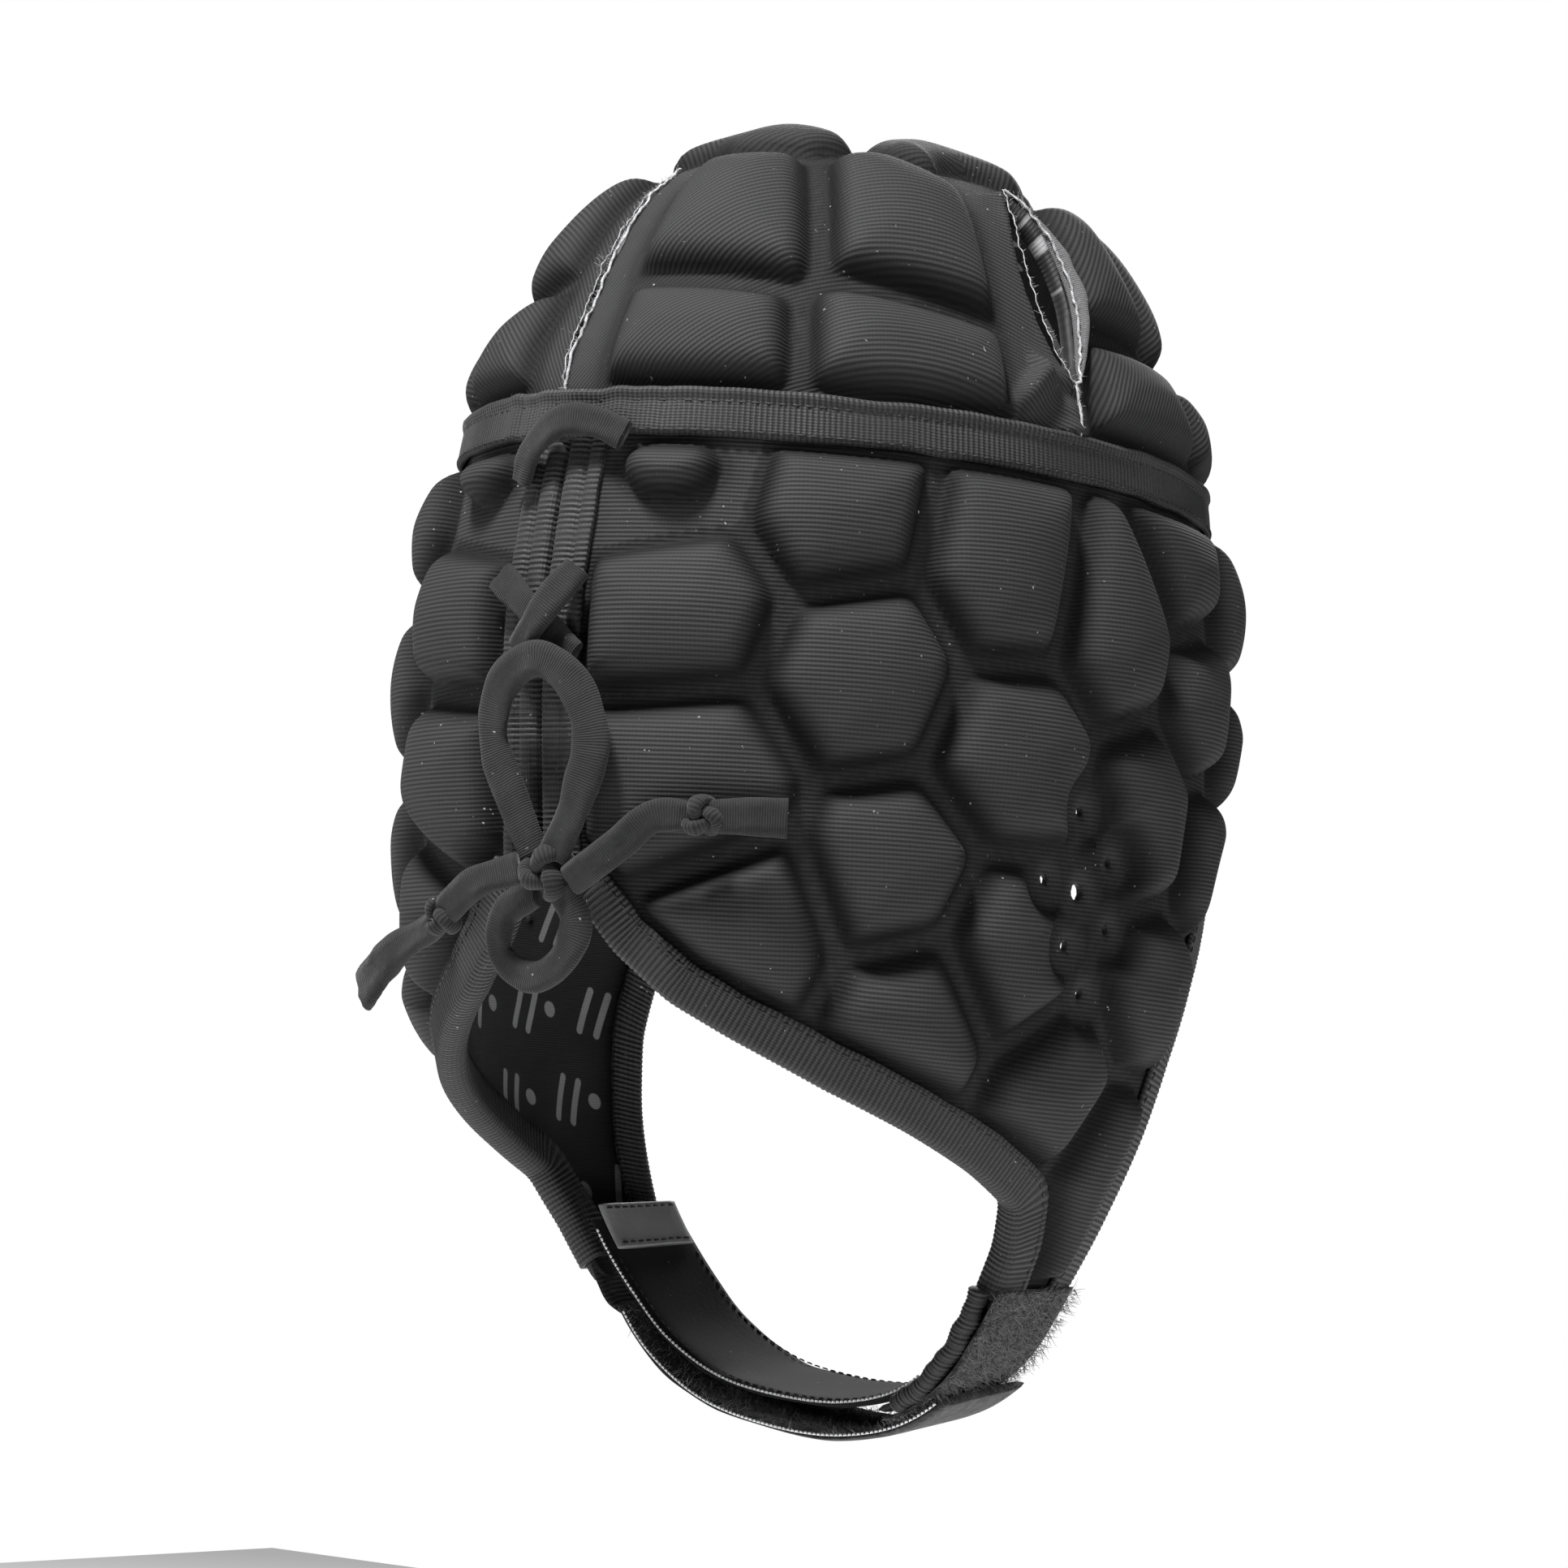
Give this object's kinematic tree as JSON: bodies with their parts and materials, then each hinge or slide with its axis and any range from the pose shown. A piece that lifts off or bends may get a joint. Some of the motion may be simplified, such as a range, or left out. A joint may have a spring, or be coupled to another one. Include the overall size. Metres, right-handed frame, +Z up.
{
  "type": "rugby scrum cap",
  "caption": "Soft padded head guard with raised foam pads, ear flaps with ear holes, a laced slit at the back and a hook-and-loop chin strap.",
  "frame": {"origin": "inside top of the crown, where the cap sits on a head", "axes": "+Z up out of the crown, -Y towards the face opening, +X towards the wearer's left"},
  "size_m": [0.1838, 0.2247, 0.3019],
  "materials": {
    "padded_knit": "fine ribbed knit over foam, slight sheen",
    "ribbed_tape": "ribbed woven tape, matte",
    "strap": "smooth strap with stitched edges",
    "pile": "fuzzy loop pile",
    "tab": "grey grained tab, satin",
    "lace": "soft jersey tube, matte"
  },
  "bodies": {
    "root": {"crown": "padded_knit", "side_panel_right": "padded_knit", "side_panel_left": "padded_knit", "seam_tape": "ribbed_tape", "back_tape_right": "ribbed_tape", "back_tape_left": "ribbed_tape", "hem_binding_right": "ribbed_tape", "hem_binding_left": "ribbed_tape", "face_binding": "ribbed_tape", "chin_strap_inner": "strap", "flap_tab": "tab", "chin_strap_outer": "pile", "flap_strap_right": "ribbed_tape", "loop_patch": "pile", "lace_bridge": "lace", "lace_cross_a": "lace", "lace_cross_b": "lace", "bow_loop": "lace", "lower_loop": "lace", "lace_tail_right": "lace", "lace_tail_left": "lace", "lace_knot": "lace"}
  },
  "joints": []
}
